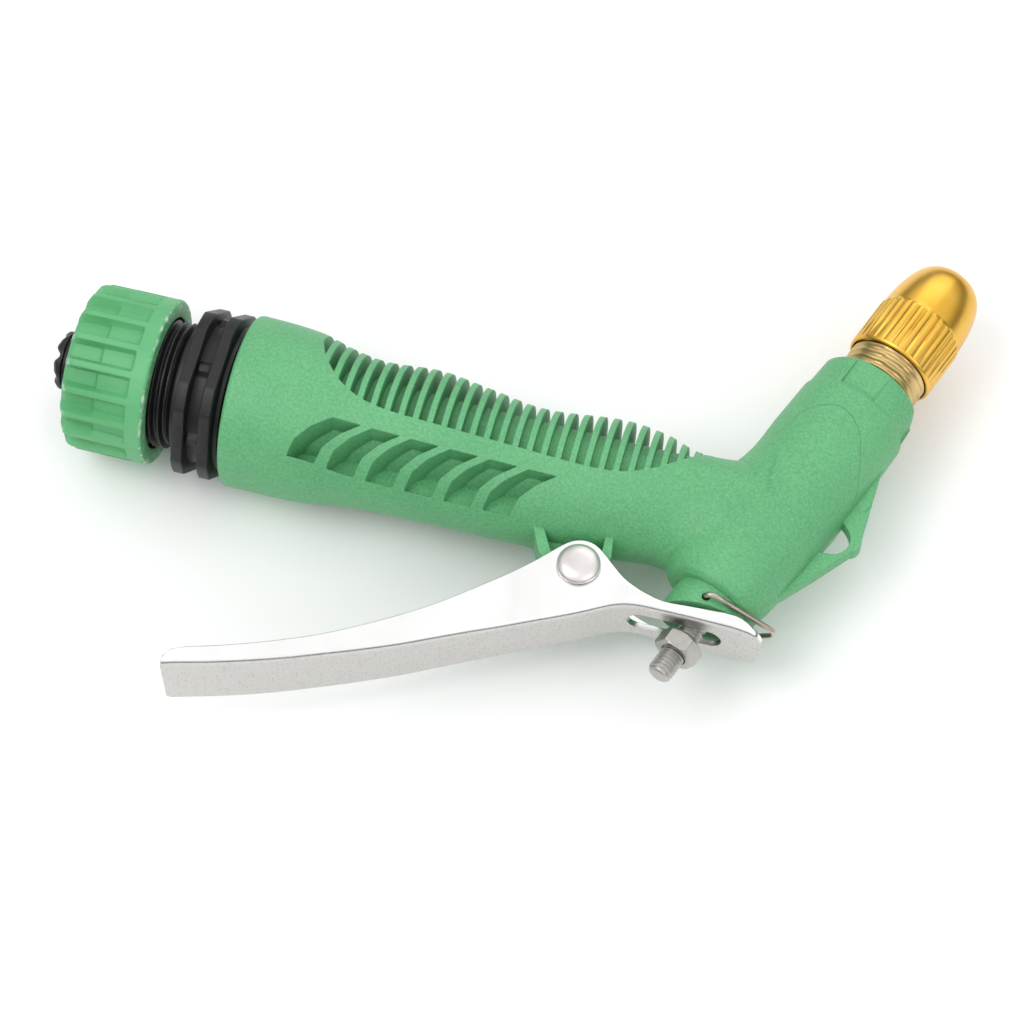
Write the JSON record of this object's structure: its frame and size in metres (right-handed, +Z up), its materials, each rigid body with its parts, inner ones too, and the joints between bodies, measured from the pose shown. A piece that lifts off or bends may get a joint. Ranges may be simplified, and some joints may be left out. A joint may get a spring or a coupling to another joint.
{
  "type": "hose spray nozzle",
  "caption": "Hose spray nozzle with a ribbed hose coupling, finger-ribbed plastic grip, bent-back steel trigger lever, leaning barrel and an adjustable screw cap.",
  "frame": {"origin": "centre of the object's footprint, at the lowest point as it lies on its side", "axes": "+X along the grip from the hose coupling to the head, +Y towards the finger ribs and the spray cap, +Z up, across the mould's parting plane"},
  "size_m": [0.1764, 0.1276, 0.0349],
  "materials": {
    "green_plastic": "satin moulded plastic with a fine spark-eroded grain",
    "nut_green_plastic": "satin moulded plastic, slightly more saturated, with worn pale rib edges",
    "black_plastic": "semi-gloss black nylon",
    "gold_metal": "gold anodised, bright turned",
    "champagne_metal": "pale gold anodised, bright turned",
    "polished_steel": "bright plated pressed steel",
    "rivet_steel": "plated, slightly dimpled head",
    "zinc_steel": "zinc plated",
    "spring_wire": "drawn wire, slightly tarnished",
    "seal_rubber": "matte black rubber"
  },
  "bodies": {
    "body": {"body": "green_plastic", "inlet_adapter": "black_plastic", "hose_tail": "black_plastic", "inlet_washer": "seal_rubber", "adapter_o_ring": "seal_rubber", "nozzle_nipple": "champagne_metal", "nipple_o_ring": "seal_rubber", "gland_packing": "seal_rubber", "packing_ring": "black_plastic", "pivot_rivet": "rivet_steel", "rivet_washer": "polished_steel", "pivot_bush": "black_plastic"},
    "trigger": {"lever": "polished_steel"},
    "valve": {"valve_rod": "zinc_steel", "valve_cone": "seal_rubber", "spring_seat": "zinc_steel", "return_spring": "spring_wire"},
    "rod_nut": {"adjusting_nut": "zinc_steel"},
    "cap_slide": {"cap_o_ring": "seal_rubber"},
    "cap": {"spray_cap": "gold_metal"},
    "nut_slide": {"hose_collet": "black_plastic"},
    "hose_nut": {"coupling_nut": "nut_green_plastic"},
    "clip": {"wire_clip": "spring_wire"}
  },
  "joints": [
    {"name": "trigger_hinge", "type": "hinge", "parent": "body", "child": "trigger", "pos_m": [0.0251, -0.02283, 0.01746], "axis": [0, 0, 1], "range_deg": [-10.9, 0], "stiffness_Nm_per_rad": 2, "springref_deg": 5.73},
    {"name": "valve_travel", "type": "slide", "parent": "body", "child": "valve", "axis": [0.3518, 0.9361, 0], "range_m": [-0.0047, 0], "deforming": ["return_spring"]},
    {"name": "rod_nut_turn", "type": "hinge", "parent": "valve", "child": "rod_nut", "pos_m": [0.04731, -0.03207, 0.01746], "axis": [0.3518, 0.9361, 0], "continuous": true},
    {"name": "cap_travel", "type": "slide", "parent": "body", "child": "cap_slide", "axis": [0.3518, 0.9361, 0], "range_m": [0, 0.0025]},
    {"name": "cap_turn", "type": "hinge", "parent": "cap_slide", "child": "cap", "pos_m": [0.07679, 0.04637, 0.01746], "axis": [0.3518, 0.9361, 0], "range_deg": [0, 540]},
    {"name": "nut_travel", "type": "slide", "parent": "body", "child": "nut_slide", "axis": [1, 0, 0], "range_m": [-0.0037, 0]},
    {"name": "nut_turn", "type": "hinge", "parent": "nut_slide", "child": "hose_nut", "pos_m": [-0.0738, -0.00043, 0.01746], "axis": [1, 0, 0], "range_deg": [-720, 0]},
    {"name": "clip_swing", "type": "hinge", "parent": "body", "child": "clip", "pos_m": [0.0505, -0.02373, 0.01746], "axis": [0, 0, 1], "range_deg": [-6, 0]}
  ],
  "couplings": [
    {"joint": "valve_travel", "follows": "trigger_hinge", "m_per_rad": 0.02406},
    {"joint": "cap_travel", "follows": "cap_turn", "m_per_rad": 0.00025465},
    {"joint": "nut_travel", "follows": "nut_turn", "m_per_rad": 0.00028871}
  ]
}
